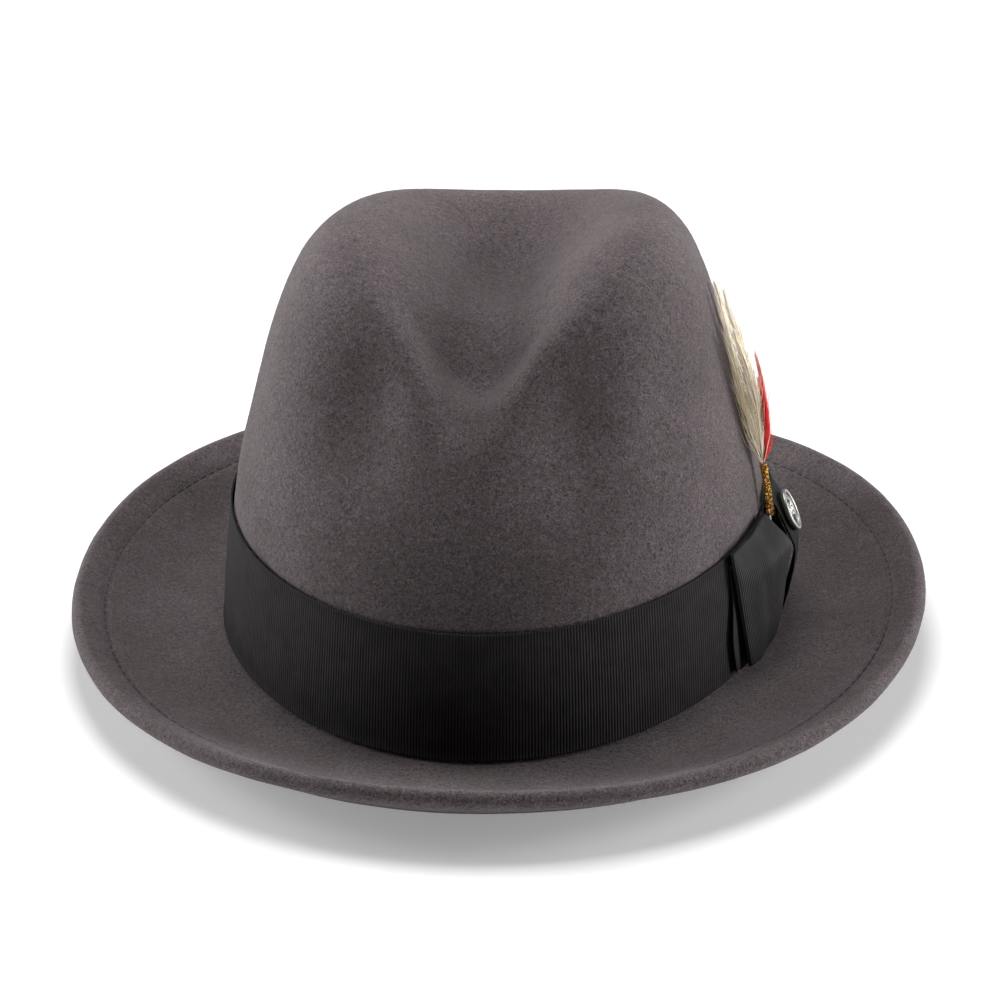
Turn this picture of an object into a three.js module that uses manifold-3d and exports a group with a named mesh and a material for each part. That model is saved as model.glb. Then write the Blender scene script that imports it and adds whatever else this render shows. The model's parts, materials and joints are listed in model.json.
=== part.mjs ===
import * as THREE from 'three';
import { mergeVertices } from 'three/addons/utils/BufferGeometryUtils.js';
import Module from 'manifold-3d';

// Soft felt hat, millimetres. Z is up and z = 0 is the table. The front of the hat looks along -Y,
// and the bow is on the wearer's left, which is +X. The origin is under the middle of the crown.
// Every sewn or felted piece starts as a round blank, and one shaping function stretches it into
// the head oval, curls the brim and presses the crease and the pinches into the crown.

// Driving dimensions of the round blank and the oval it is stretched into.
const BLANK_RADIUS = 95;
const HALF_WIDTH = 86.3;
const HALF_LENGTH = 103;
const BRIM_WIDTH = 46.6;
const LIFT = 2.75;

// Brim: height of the turned-up edge, sag of the flat part, extra height of the sides.
const EDGE_HEIGHT = 17.2;
const EDGE_TILT = 1.8;
const EDGE_SIDES = 0.7;
const EDGE_CORNERS = 2.6;
const CURL_POWER = 2.2;
const GUTTER_SAG = 1.8;
const SIDE_RISE = 6.2;
const FELT = 2.3;
const WELT_WIDTH = 9;
const WELT_RADIUS = 2.6;

// Crown: felt wall, crease along the top, drop of the front, two finger pinches, flattened front.
const WALL = 2;
const CREASE_DEPTH = 34;
const CREASE_FRONT = -90;
const CREASE_FULL = -43;
const CREASE_FADE = 10;
const CREASE_BACK = 90;
const CREASE_NARROW = 15;
const CREASE_WIDE = 40;
const FRONT_DROP = 19;
const PINCH_DEPTH = 6.5;
const PINCH = new THREE.Vector3(35, -76, 106);
const PINCH_SPREAD = new THREE.Vector3(17, 26, 20);
const PINCH_TAIL = 32;
const FRONT_PRESS = 6;
const LEAN = 0.8;
const TOP_RAISE = 2.4;
const TOP_TILT = 0.035;

// Trimmings.
const RIBBON_WIDTH = 38;
const RIBBON_GAP = 0.3;
const RIBBON_THICK = 0.7;
const BAND_HEIGHT = 33;
const BADGE_RADIUS = 6.7;
const POST_RADIUS = 0.5;

// Height and radius of the blank crown, from the break at the brim to the top.
const CROWN = [
  [95, 0], [94, 12], [92.6, 25], [90.8, 38], [88.3, 52], [84.6, 66], [81, 80], [77.6, 92],
  [74, 103], [69.6, 113], [63.5, 122.5], [54, 130.5], [42, 135], [28, 136.5], [14, 137], [0, 137],
];

const smooth = (v, a, b) => THREE.MathUtils.smoothstep(v, a, b);

// The crown blank as a smooth curve, with its length and outward direction at every point.
const curve = new THREE.CatmullRomCurve3(CROWN.map(([r, h]) => new THREE.Vector3(r, h, 0)), false, 'centripetal');
curve.arcLengthDivisions = 800;
const CROWN_LENGTH = curve.getLength();

// Blank radius and height of a point q along the crown and n outside its surface.
function blank(q, n) {
  const u = THREE.MathUtils.clamp(q / CROWN_LENGTH, 0, 1);
  const p = curve.getPointAt(u);
  const d = curve.getTangentAt(u);
  const lower = Math.min(q, 0);
  return [p.x + d.y * n, p.y - d.x * n + lower];
}

// Shapes a point of the blank crown: oval, side rise, lower front, crease, pinches and lean.
function shapeCrown(r, t, h) {
  const p = new THREE.Vector3(
    (r / BLANK_RADIUS) * HALF_WIDTH * Math.cos(t),
    (r / BLANK_RADIUS) * HALF_LENGTH * Math.sin(t),
    h + SIDE_RISE * Math.cos(t) ** 2 * (1 - smooth(h, 40, 110)),
  );
  p.z -= FRONT_DROP * smooth(-p.y, 15, 88) * smooth(h, 60, 125);
  const along = smooth(p.y, CREASE_FRONT, CREASE_FULL) * (1 - smooth(p.y, CREASE_FADE, CREASE_BACK));
  const width = CREASE_NARROW + (CREASE_WIDE - CREASE_NARROW) * smooth(p.y, CREASE_FRONT, -15);
  p.z -= CREASE_DEPTH * along * Math.exp(-1.9 * (p.x / width) ** 2) * smooth(h, 70, 118);
  p.z += (TOP_RAISE + TOP_TILT * p.x) * smooth(h, 100, 132) * smooth(p.y, -60, -10);
  for (const side of [1, -1]) {
    const below = p.z < PINCH.z ? PINCH_TAIL : PINCH_SPREAD.z;
    const far = ((p.x - side * PINCH.x) / PINCH_SPREAD.x) ** 2
      + ((p.y - PINCH.y) / PINCH_SPREAD.y) ** 2 + ((p.z - PINCH.z) / below) ** 2;
    const push = new THREE.Vector3(side, -1, 0.3).normalize();
    p.addScaledVector(push, -PINCH_DEPTH * Math.exp(-far));
  }
  const press = FRONT_PRESS * smooth(-p.y, 20, 62) * Math.exp(-((p.x / 36) ** 4) - ((p.z - 84) / 30) ** 2);
  p.y += press;
  p.z -= 0.25 * press;
  p.x -= LEAN * smooth(h, 20, 130);
  p.z += LIFT;
  return p;
}

// Shapes a point of the blank brim, which lies h above its flat top face. The lowest part of the
// underside rests flat on the table.
function shapeBrim(r, t, h) {
  const off = r - BLANK_RADIUS;
  const u = off / BRIM_WIDTH;
  const rise = SIDE_RISE * Math.cos(t) ** 2;
  const edge = EDGE_HEIGHT + EDGE_TILT * Math.sin(t) + EDGE_SIDES * Math.cos(2 * t)
    + EDGE_CORNERS * Math.sin(3 * t) - rise;
  const wave = Math.PI * 1.25;
  const sag = u < 0.8 ? GUTTER_SAG * Math.sin(wave * u) : 0;
  const sagSlope = u < 0.8 ? GUTTER_SAG * wave * Math.cos(wave * u) : 0;
  const slope = (edge * CURL_POWER * u ** (CURL_POWER - 1) - sagSlope) / BRIM_WIDTH;
  const tilt = smooth(u, 0, 0.12) * slope;
  const length = Math.hypot(1, tilt);
  const out = off - (h * tilt) / length;
  const z = h / length + edge * u ** CURL_POWER - sag + rise + LIFT;
  return new THREE.Vector3((HALF_WIDTH + out) * Math.cos(t), (HALF_LENGTH + out) * Math.sin(t), Math.max(z, 0));
}

// Point q along the crown, n outside it, at angle t round the head.
const onCrown = (q, t, n) => shapeCrown(...[blank(q, n)].flatMap(([r, h]) => [r, t, h]));

// Point in the bow's own frame: s towards the back, q up the crown, n out from the felt.
const onSide = (s, q, n) => onCrown(q, s / 100, n);

// Turns the faces of a closed geometry outwards when its volume comes out negative.
function facingOut(geometry) {
  const [a, b, c] = [new THREE.Vector3(), new THREE.Vector3(), new THREE.Vector3()];
  const corner = geometry.index.array;
  let volume = 0;
  for (let i = 0; i < corner.length; i += 3) {
    [a, b, c].forEach((v, k) => v.fromBufferAttribute(geometry.attributes.position, corner[i + k]));
    volume += a.dot(b.cross(c));
  }
  if (volume < 0) {
    for (let i = 0; i < corner.length; i += 3) [corner[i + 1], corner[i + 2]] = [corner[i + 2], corner[i + 1]];
  }
  geometry.computeVertexNormals();
  return geometry;
}

// Moves every vertex of a geometry to where the given function sends it.
function moved(geometry, send) {
  const plain = geometry.clone();
  for (const name of ['normal', 'uv']) plain.deleteAttribute(name);
  const at = plain.attributes.position;
  for (let i = 0; i < at.count; i += 1) {
    const p = send(new THREE.Vector3().fromBufferAttribute(at, i));
    at.setXYZ(i, p.x, p.y, p.z);
  }
  return facingOut(mergeVertices(plain, 1e-4));
}

// A closed ring: the profile is a list of [a, b] pairs, turned round the head.
function ring(profile, segments, send) {
  const points = profile.map(([a, b]) => new THREE.Vector2(a, b));
  const turned = new THREE.LatheGeometry(points, segments);
  return moved(turned, (p) => {
    const t = Math.atan2(p.z, p.x);
    return send(Math.hypot(p.x, p.z), t, p.y);
  });
}

// A ring whose profile is given as distance n outside the crown felt (shifted by 50) and height q.
const crownRing = (profile, segments) => ring(
  profile.map(([n, q]) => [n + 50, q]),
  segments,
  (a, t, q) => onCrown(q, t, a - 50),
);

// Points round a small circle, closed on itself, to turn into a cord.
function circle(a, b, radius, sides) {
  const points = [];
  for (let i = 0; i <= sides; i += 1) {
    const angle = (2 * Math.PI * (i % sides)) / sides;
    points.push([a + radius * Math.cos(angle), b + radius * Math.sin(angle)]);
  }
  return points;
}

// A flat outline pushed to a thickness and divided into steps.
function slab(outline, thickness, steps = 1, holes = []) {
  const points = outline.map(([a, b]) => new THREE.Vector2(a, b));
  const shape = new THREE.Shape(THREE.ShapeUtils.isClockWise(points) ? points.reverse() : points);
  for (const hole of holes) shape.holes.push(new THREE.Path(hole.map(([a, b]) => new THREE.Vector2(a, b))));
  return new THREE.ExtrudeGeometry(shape, { depth: thickness, steps, bevelEnabled: false });
}

const root = new THREE.Group();
root.name = 'felt_hat';

const FELT_GREY = { color: 0x7a7074, roughness: 1 };
const RIBBON_BLACK = { color: 0x1c1b1e, roughness: 0.8 };
const LEATHER_BROWN = { color: 0x4a3426, roughness: 0.6 };
const SATIN = { color: 0x2b2b30, roughness: 0.35 };
const SILVER = { color: 0xc9cac6, roughness: 0.3, metalness: 1 };
const THREAD = { color: 0x4c4548, roughness: 0.9 };

function add(name, geometry, look) {
  const mesh = new THREE.Mesh(geometry, new THREE.MeshStandardMaterial(look));
  mesh.name = name;
  root.add(mesh);
}

// Felt body: crown and brim are one piece of wool felt, blocked over a hat block. The edge of the
// brim is folded under, which makes a round welt with a second layer of felt behind it.
const OUTER_EDGE = BLANK_RADIUS + BRIM_WIDTH - WELT_RADIUS;
const WELT_INNER = OUTER_EDGE - WELT_WIDTH;
const STITCH_RADIUS = OUTER_EDGE - 6.5;

const steps = (from, to, count) => Array.from({ length: count + 1 }, (_, i) => from + ((to - from) * i) / count);

// Rows of the crown from the break to the top, shared by the felt and its lining.
const ROWS = [0, 14, 28, 42, 54, 64, 74, 83, 91, 99, 107, 115, 123, 131, 139, 147, 155, 163, 171, 180, 189];
const SECTORS = 64;
const top = (n) => [0, CROWN.at(-1)[1] + n];

const feltProfile = [
  top(0),
  ...[...ROWS].reverse().map((q) => blank(q, 0)),
  ...steps(BLANK_RADIUS + 4, STITCH_RADIUS - 0.8, 6).map((r) => [r, 0]),
  [STITCH_RADIUS - 0.8, -1],
  [STITCH_RADIUS + 0.8, -1],
  [STITCH_RADIUS + 0.8, 0],
  ...steps(90, -90, 7).map((a) => [
    OUTER_EDGE + WELT_RADIUS * Math.cos(THREE.MathUtils.degToRad(a)),
    -WELT_RADIUS + WELT_RADIUS * Math.sin(THREE.MathUtils.degToRad(a)),
  ]),
  [WELT_INNER + 0.5, -2 * WELT_RADIUS],
  [WELT_INNER, -2 * WELT_RADIUS + 0.5],
  [WELT_INNER, -FELT],
  ...steps(WELT_INNER - 3.5, BLANK_RADIUS - WALL, 9).map((r) => [r, -FELT]),
  ...ROWS.map((q) => blank(Math.max(q, 1), -WALL)),
  top(-WALL),
];
add('felt_body', ring(feltProfile, SECTORS, (r, t, h) => (
  r > BLANK_RADIUS && h < 1 ? shapeBrim(r, t, h) : shapeCrown(r, t, h)
)), FELT_GREY);

// Ring of sewing thread in the groove of the brim, which holds the folded edge.
add('welt_stitch', ring(circle(STITCH_RADIUS, -0.4, 0.3, 5), SECTORS, shapeBrim), THREAD);

// Grosgrain ribbon round the crown, lapped under the bow.
const RIBBON_OUT = RIBBON_GAP + RIBBON_THICK;
const ribbonSteps = steps(0.6, 0.6 + RIBBON_WIDTH, 4);
add('hat_ribbon', crownRing([
  ...ribbonSteps.map((q) => [RIBBON_OUT, q]),
  ...[...ribbonSteps].reverse().map((q) => [RIBBON_GAP, q]),
  [RIBBON_OUT, ribbonSteps[0]],
], SECTORS), RIBBON_BLACK);

// Three short tacks of black thread over the top edge of the ribbon, round the back.
const tackAngles = [0.85, 1.6, 2.35];
tackAngles.forEach((t, i) => {
  const tack = new THREE.BoxGeometry(0.9, 3.4, 0.4, 1, 3, 1);
  add(`ribbon_tack_${i + 1}`, moved(tack, (p) => (
    onCrown(RIBBON_WIDTH - 0.5 + p.y, t + p.x / 95, RIBBON_OUT + 0.45 + p.z)
  )), RIBBON_BLACK);
});

// Bow: every piece is given in the bow's frame, s to the back, q up, n out from the felt.
const BOW_IN = RIBBON_OUT + 0.35;
add('bow_base', moved(new THREE.BoxGeometry(92, 30, 0.5, 16, 3, 1), (p) => (
  onSide(p.x - 1, p.y + 17, BOW_IN + 0.25 + p.z)
)), RIBBON_BLACK);

// A leaf is a folded loop of ribbon. Its section runs along s and n, and it is gathered in height
// towards the knot.
function leaf(sign, length, outer, inner) {
  const turn = ([s, n]) => [sign * s, n];
  const body = slab(outer.map(turn), 1, 5, [inner.map(turn)]);
  return moved(body, (p) => {
    const s = Math.abs(p.x);
    const open = smooth(s, 2, length * 0.75);
    const low = 9.5 - 8.3 * open;
    const high = 30 + 8.2 * smooth(s, 8, length * 0.6) - 1.4 * smooth(s, length * 0.7, length);
    const fall = 1 - 0.42 * (1 - p.z) * smooth(s, 6, length * 0.8);
    const out = p.y < 4.6 ? p.y : 4.6 + (p.y - 4.6) * fall;
    return onSide(p.x - 2, low + (high - low) * p.z, out);
  });
}
const frontOuter = [[4.2, 4.4], [12, 4.5], [20, 3.6], [30, 2.3], [42, 2.3], [46, 2.5], [47.4, 4], [46.6, 6.4],
  [40, 8.4], [30, 9.4], [20, 8.8], [12, 7.2], [7.6, 6.2], [4.2, 6]];
const frontInner = [[7.6, 5.1], [12, 5.2], [20, 4.3], [30, 3], [42, 3], [45.6, 3.3], [46.6, 4.2], [45.8, 5.8],
  [40, 7.6], [30, 8.6], [20, 8], [12, 6.5], [7.8, 5.6]];
add('bow_front_leaf', leaf(-1, 47, frontOuter, frontInner), RIBBON_BLACK);
const shorter = ([s, n]) => [4.2 + (s - 4.2) * 0.86, n];
add('bow_rear_leaf', leaf(1, 41, frontOuter.map(shorter), frontInner.map(shorter)), RIBBON_BLACK);

// Flat cut tail of ribbon that hangs out under the front leaf, with a slanted end.
add('bow_tail', moved(slab([[-50, 2.5], [-50, 20], [-46.6, 36.5], [-48.3, 36.8], [-53, 21], [-54.5, 1.2]], 0.6, 1), (p) => (
  onSide(p.x, p.y, RIBBON_OUT + 0.4 + p.z)
)), RIBBON_BLACK);

// Knot: a strip of ribbon wrapped round the middle of the bow. Its upper front face slopes, and
// the badge sits on that slope.
const KNOT_HALF = 7.5;
const knotOuter = [[1.5, 2.4], [12, 2.4], [22, 2.4], [32, 2.4], [43.5, 2.4], [43.9, 4.2], [36, 7], [27.5, 9.4], [22, 9.7], [4, 7.8], [1.4, 6.8]];
const knotInner = [[2.4, 3.1], [2.4, 6.5], [4.6, 7.1], [22, 9], [27.2, 8.7], [35.6, 6.3], [42.8, 3.8], [42.8, 3.1], [32, 3.1],
  [22, 3.1], [12, 3.1]];
const knotBody = moved(slab(knotOuter, 2 * KNOT_HALF, 4, [knotInner]), (p) => (
  onSide(p.z - KNOT_HALF - 2, p.x, p.y)
));

// Badge frame: origin on the slope of the knot, z out along its post.
const badgeAt = onSide(-2, 33, 8.1);
const acrossFace = onSide(0, 33, 8.1).sub(onSide(-4, 33, 8.1)).normalize();
const upFace = onSide(-2, 41, 5.2).sub(onSide(-2, 30, 9.1)).normalize();
const badgeAxis = new THREE.Vector3().crossVectors(acrossFace, upFace).normalize();
const badgeFrame = new THREE.Matrix4().makeBasis(acrossFace, upFace, badgeAxis).setPosition(badgeAt);
const turnUp = new THREE.Matrix4().makeRotationX(Math.PI / 2);
const placed = (geometry) => moved(geometry.applyMatrix4(turnUp), (p) => p.applyMatrix4(badgeFrame));

const wasm = await Module();
wasm.setup();

// Cuts one closed geometry out of another.
function cut(geometry, tool) {
  const solid = (g) => {
    const welded = mergeVertices(new THREE.BufferGeometry().setAttribute('position', g.attributes.position)
      .setIndex(g.index), 1e-4);
    return new wasm.Manifold(new wasm.Mesh({
      numProp: 3,
      vertProperties: new Float32Array(welded.attributes.position.array),
      triVerts: new Uint32Array(welded.index.array),
    }));
  };
  const made = solid(geometry).subtract(solid(tool)).getMesh();
  const left = new THREE.BufferGeometry();
  left.setAttribute('position', new THREE.BufferAttribute(new Float32Array(made.vertProperties), 3));
  left.setIndex([...made.triVerts]);
  left.computeVertexNormals();
  return left;
}
add('bow_knot', cut(knotBody, placed(new THREE.CylinderGeometry(POST_RADIUS + 0.3, POST_RADIUS + 0.3, 5, 12))), RIBBON_BLACK);

// Round metal badge with a raised rim, a raised ring and a centre boss, and its post.
const badgeProfile = [
  [0, -3], [POST_RADIUS, -2.8], [POST_RADIUS, 0.3], [BADGE_RADIUS - 0.3, 0.3], [BADGE_RADIUS, 0.6],
  [BADGE_RADIUS, 1.6], [BADGE_RADIUS - 0.35, 1.9], [BADGE_RADIUS - 1, 1.9], [BADGE_RADIUS - 1.2, 1.3],
  [4.6, 1.3], [4.4, 1.6], [3.8, 1.6], [3.6, 1.3], [1.6, 1.3], [1.4, 1.6], [0, 1.7],
].map(([r, h]) => new THREE.Vector2(r, h));
add('badge_disc', placed(new THREE.LatheGeometry(badgeProfile, 40)), SILVER);

// Push-on clutch behind the knot that grips the post.
const clutchProfile = [
  [POST_RADIUS + 0.15, -1.5], [2.6, -1.5], [2.6, -2.7], [POST_RADIUS + 0.15, -2.7], [POST_RADIUS + 0.15, -1.5],
].map(([r, h]) => new THREE.Vector2(r, h));
add('badge_clutch', placed(new THREE.LatheGeometry(clutchProfile, 20)), { color: 0xb08a3c, roughness: 0.4, metalness: 1 });

// Feather bunch. Each feather is a flat vane on a thin quill. The quills lie side by side inside
// the binding, and the vanes fan out above it and follow the side of the crown.
const QUILL_S = -12;
const TUCKED = 24;
const SHORT = 38;
const BIND_BOTTOM = 37;
const BIND_TOP = 54;
const QUILL_N = 3.55;
const VANE = 0.35;

function feather(name, look, spec) {
  const { level, length, half, slant, rise, curl, bottom } = spec;
  const left = [];
  const right = [];
  const count = 14;
  for (let i = 0; i <= count; i += 1) {
    const along = BIND_TOP + 1 + ((length - 1) * i) / count;
    const f = i / count;
    const w = 0.28 + half * Math.sin(Math.PI * Math.min(1, f * 0.92 + 0.04)) ** 0.8 * smooth(f, 0, 0.35);
    left.push([-w, along]);
    right.push([w, along]);
  }
  const tip = [0, BIND_TOP + length + 1.5];
  const quill = steps(bottom, BIND_TOP, Math.ceil((BIND_TOP - bottom) / 4));
  const outline = [...quill.map((q) => [0.28, q]), ...right, tip, ...left.reverse(),
    ...[...quill].reverse().map((q) => [-0.28, q])];
  add(name, moved(slab(outline, VANE, 1), (p) => {
    const above = Math.max(p.y - BIND_TOP, 0);
    const f = above / length;
    const s = QUILL_S + p.x + slant * above + curl * above * f;
    const n = QUILL_N + level + rise * Math.sin(Math.min(f, 1) * 2.2) + p.z - VANE / 2;
    return onSide(s, p.y, n);
  }), look);
}
const CREAM = { color: 0xcfc4ad, roughness: 0.8 };
const RED = { color: 0xb3202a, roughness: 0.7 };
feather('feather_cream_1', CREAM, { level: -1.1, length: 68, half: 5.5, slant: 0.16, rise: 0.6, curl: 0.1, bottom: TUCKED });
feather('feather_cream_2', CREAM, { level: -0.5, length: 64, half: 5.8, slant: 0.05, rise: 1.2, curl: 0.06, bottom: TUCKED });
feather('feather_cream_3', CREAM, { level: 0.1, length: 58, half: 5.2, slant: 0.26, rise: 1.8, curl: 0.12, bottom: TUCKED });
feather('feather_red_1', RED, { level: 0.7, length: 38, half: 3.2, slant: 0.12, rise: 2.6, curl: 0.08, bottom: SHORT });
feather('feather_red_2', RED, { level: 1.3, length: 30, half: 2.6, slant: 0.02, rise: 3.2, curl: 0.04, bottom: SHORT });

// Gold tinsel thread bound round the quills.
const bore = 1.85;
const bind = 2.15;
const bindProfile = [
  [bore, BIND_BOTTOM], [bind, BIND_BOTTOM], ...steps(BIND_BOTTOM + 4, BIND_TOP - 2, 3).map((q) => [bind, q]),
  [bind - 0.15, BIND_TOP], [bore, BIND_TOP], ...steps(BIND_TOP - 4, BIND_BOTTOM + 4, 3).map((q) => [bore, q]),
  [bore, BIND_BOTTOM],
].map(([r, h]) => new THREE.Vector2(r, h));
add('feather_binding', moved(new THREE.LatheGeometry(bindProfile, 16), (p) => (
  onSide(QUILL_S + p.z, p.y, QUILL_N + 0.1 + p.x)
)), { color: 0xc9a23a, roughness: 0.35, metalness: 0.9 });

// Leather sweatband inside the head opening, with a round reed in its lower edge.
const BAND_OUT = -(WALL + 1.3);
const BAND_IN = BAND_OUT - 0.9;
const bandSteps = steps(0.6, BAND_HEIGHT, 4);
add('sweatband', crownRing([
  ...bandSteps.map((q) => [BAND_OUT, q]),
  ...[...bandSteps].reverse().map((q) => [BAND_IN, q]),
  [BAND_OUT, bandSteps[0]],
], 60), LEATHER_BROWN);
add('sweatband_reed', crownRing(circle(BAND_OUT - 0.2, -0.7, 0.9, 7), 60), { color: 0x3a2a20, roughness: 0.7 });
add('sweatband_stitch', crownRing(circle(BAND_IN - 0.55, 3, 0.25, 5), 60), { color: 0x8a7a66, roughness: 0.9 });

// Small ribbon bow over the back seam of the sweatband.
add('sweatband_bow', moved(slab([[-8, -3.2], [-1.2, -1.1], [1.2, -1.1], [8, -3.2], [8, 3.2], [1.2, 1.1],
  [-1.2, 1.1], [-8, 3.2]], 0.8, 1), (p) => (
  onCrown(9 + p.y, Math.PI / 2 - p.x / 95, BAND_IN - 1.2 + p.z)
)), RIBBON_BLACK);

// Satin lining: a side wall, an oval top and the piped seam between them.
const LINING_OUT = -(WALL + 0.4);
const LINING_IN = LINING_OUT - 0.4;
const SEAM_Q = 111.5;
const wallRows = [26, ...ROWS.filter((q) => q > 30 && q < SEAM_Q - 2), SEAM_Q - 1.2];
add('lining_side', crownRing([
  ...wallRows.map((q) => [LINING_OUT, q]),
  ...[...wallRows].reverse().map((q) => [LINING_IN, q]),
  [LINING_OUT, wallRows[0]],
], SECTORS), SATIN);
add('lining_seam', crownRing(circle(LINING_OUT - 0.8, SEAM_Q, 0.5, 6), SECTORS), SATIN);
const TIP_OUT = LINING_OUT - 0.7;
const TIP_IN = TIP_OUT - 0.4;
const tipRows = [SEAM_Q + 1.2, ...ROWS.filter((q) => q > SEAM_Q + 2)];
add('lining_tip', ring([
  ...tipRows.map((q) => blank(q, TIP_OUT)),
  top(TIP_OUT),
  top(TIP_IN),
  ...[...tipRows].reverse().map((q) => blank(q, TIP_IN)),
  blank(tipRows[0], TIP_OUT),
], SECTORS, shapeCrown), SATIN);

// Small blank size label tucked between the felt and the sweatband at the back.
add('size_label', moved(new THREE.BoxGeometry(26, 12, 0.3, 5, 2, 1), (p) => (
  onCrown(16 + p.y, 1.9 + p.x / 95, -(WALL + 0.65) + p.z)
)), { color: 0xe8e4da, roughness: 0.9 });

export default root;
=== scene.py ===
# %% [markdown]
# # A soft felt hat with ribbon, bow, badge and feathers
# The hat stands on its brim with the front towards -Y and the bow on +X, the wearer's left.
# A real hat starts as a round cone of felt that is steamed and pulled over a block. This lesson
# works the same way: every piece is first a round blank, and one shaping function then pulls it
# into the oval of a head, curls the brim and presses the crease and pinches into the crown.
# So felt, ribbon, sweatband and lining all share one shape and lie on each other without gaps.

import json
import math

import bmesh
import bpy
import numpy as np
from mathutils import Matrix, Vector, noise


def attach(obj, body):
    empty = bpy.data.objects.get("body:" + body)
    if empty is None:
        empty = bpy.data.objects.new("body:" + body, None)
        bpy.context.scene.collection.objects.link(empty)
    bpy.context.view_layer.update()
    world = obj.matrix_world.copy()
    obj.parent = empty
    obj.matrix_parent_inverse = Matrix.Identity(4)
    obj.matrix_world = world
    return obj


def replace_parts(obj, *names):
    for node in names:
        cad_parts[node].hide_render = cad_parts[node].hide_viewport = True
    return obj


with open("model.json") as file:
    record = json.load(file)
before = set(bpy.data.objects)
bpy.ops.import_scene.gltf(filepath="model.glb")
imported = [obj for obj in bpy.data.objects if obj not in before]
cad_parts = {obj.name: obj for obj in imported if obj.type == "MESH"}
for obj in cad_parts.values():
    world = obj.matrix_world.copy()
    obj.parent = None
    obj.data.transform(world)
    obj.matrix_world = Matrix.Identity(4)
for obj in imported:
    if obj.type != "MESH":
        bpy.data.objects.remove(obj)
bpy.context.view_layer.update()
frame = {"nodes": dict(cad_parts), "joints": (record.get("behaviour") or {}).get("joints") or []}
MM = 0.001
HAT, BUNCH, BADGE = "hat", "feather_bunch", "badge"

# %% [markdown]
# ## Camera
# A long lens from a little above, turned slightly towards the bow.

# %% Camera
LIFT = 2.75


def aim(obj, spot, target):
    """Turns an object at spot so that its -Z looks at target."""
    obj.location = spot
    obj.rotation_euler = (Vector(target) - Vector(spot)).to_track_quat("-Z", "Y").to_euler()


elevation, azimuth, distance = math.radians(22.95), math.radians(7.3), 0.85
look_at = Vector((0, 0, (38 + LIFT) * MM))
away = Vector((
    math.sin(azimuth) * math.cos(elevation),
    -math.cos(azimuth) * math.cos(elevation),
    math.sin(elevation),
))
camera = bpy.data.objects.new("camera", bpy.data.cameras.new("camera"))
camera.data.lens = 96.9
camera.data.sensor_width = 36
bpy.context.scene.collection.objects.link(camera)
aim(camera, look_at + away * distance, look_at)
bpy.context.scene.camera = camera
print("camera at", [round(c, 3) for c in camera.location])

# %% [markdown]
# ## The shaping function
# The blank crown is a curve turned round the Z axis. A point on it is given by q, its distance
# along the curve from the brim, by t, its angle round the head, and by n, its distance outside
# the felt. The numbers are those of the design, in millimetres.

# %% Blank crown curve
BLANK_RADIUS, HALF_WIDTH, HALF_LENGTH, BRIM_WIDTH = 95, 86.3, 103, 46.6
CROWN = np.array([
    (95, 0), (94, 12), (92.6, 25), (90.8, 38), (88.3, 52), (84.6, 66), (81, 80), (77.6, 92),
    (74, 103), (69.6, 113), (63.5, 122.5), (54, 130.5), (42, 135), (28, 136.5), (14, 137), (0, 137),
], float)


def smooth(v, a, b):
    """0 before a, 1 after b, and an even S between them."""
    k = np.clip((v - a) / (b - a), 0, 1)
    return k * k * (3 - 2 * k)


def fair_curve(points, per_span=60):
    """A smooth line through the points, without overshoot where they crowd together."""
    ends = np.vstack([2 * points[0] - points[1], points, 2 * points[-1] - points[-2]])
    out = []
    for p0, p1, p2, p3 in zip(ends, ends[1:], ends[2:], ends[3:]):
        d0, d1, d2 = (max(np.linalg.norm(b - a) ** 0.5, 1e-6) for a, b in ((p0, p1), (p1, p2), (p2, p3)))
        m1 = ((p1 - p0) / d0 - (p2 - p0) / (d0 + d1) + (p2 - p1) / d1) * d1
        m2 = ((p2 - p1) / d1 - (p3 - p1) / (d1 + d2) + (p3 - p2) / d2) * d1
        k = np.linspace(0, 1, per_span, endpoint=False)[:, None]
        out.append((2 * k**3 - 3 * k**2 + 1) * p1 + (k**3 - 2 * k**2 + k) * m1
                   + (3 * k**2 - 2 * k**3) * p2 + (k**3 - k**2) * m2)
    return np.vstack([*out, points[-1:]])


crown_line = fair_curve(CROWN)
crown_q = np.r_[0, np.cumsum(np.linalg.norm(np.diff(crown_line, axis=0), axis=1))]
crown_out = np.gradient(crown_line, crown_q, axis=0)[:, ::-1] * (1, -1)
CROWN_LENGTH = crown_q[-1]


def blank(q, n):
    """Radius and height of a point on the blank crown."""
    q, n = np.broadcast_arrays(np.asarray(q, float), np.asarray(n, float))
    line = [np.interp(q, crown_q, crown_line[:, i]) for i in (0, 1)]
    out = [np.interp(q, crown_q, crown_out[:, i]) for i in (0, 1)]
    return line[0] + n * out[0], line[1] + n * out[1] + np.minimum(q, 0)


print(f"crown curve {CROWN_LENGTH:.1f} mm from brim to top")

# %% Crown: oval, crease, front drop, pinches
SIDE_RISE = 6.2
CREASE = dict(depth=34, front=-90, full=-43, fade=10, back=90, narrow=15, wide=40)
FRONT_DROP = 19
PINCH = dict(depth=6.5, at=(35, -76, 106), spread=(17, 26, 20), tail=32)
FRONT_PRESS = 6
LEAN = 0.8
TOP_RAISE, TOP_TILT = 2.4, 0.035


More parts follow.
